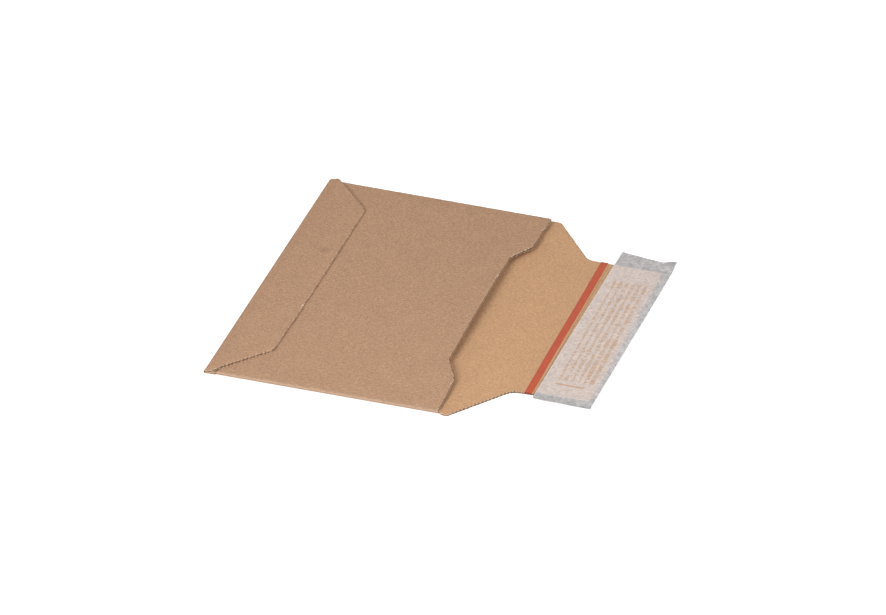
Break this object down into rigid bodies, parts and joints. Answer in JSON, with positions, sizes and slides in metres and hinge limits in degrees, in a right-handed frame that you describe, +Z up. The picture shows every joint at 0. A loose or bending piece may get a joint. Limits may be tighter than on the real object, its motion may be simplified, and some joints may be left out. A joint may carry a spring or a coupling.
{
  "type": "corrugated cardboard envelope",
  "caption": "Flat corrugated mailing envelope with a glued bottom flap, an arched open mouth and a tapered closing flap with tear strip and release liner.",
  "frame": {"origin": "middle of the back panel's underside, halfway between the bottom fold and the closing crease", "axes": "+X from the bottom fold towards the closing flap's end, +Y along the flutes, from the plain long fold to the long fold with the glued seam, +Z up from the back panel to the front panel"},
  "size_m": [0.2503, 0.25, 0.0078],
  "materials": {
    "outer_board": "matt brown kraft liner, the greyer outside of the board",
    "inner_board": "matt kraft liner, the lighter tan inside of the board",
    "tear_tape": "satin red film tape",
    "adhesive": "clear tacky pressure-sensitive band",
    "liner_paper": "satin silicone-coated paper, slightly see-through",
    "seam_glue": "dried pale seam glue"
  },
  "bodies": {
    "pack": {"cardboard_body": "outer_board", "bottom_seam_glue": "seam_glue", "side_seam_glue": "seam_glue"},
    "flap": {"closing_flap": "inner_board", "tear_strip": "tear_tape", "adhesive_band": "adhesive", "release_liner": "liner_paper"}
  },
  "joints": [
    {"name": "closing_crease", "type": "hinge", "parent": "pack", "child": "flap", "pos_m": [0.081, 0, 0.0034], "axis": [0, -1, 0], "range_deg": [0, 168]}
  ]
}
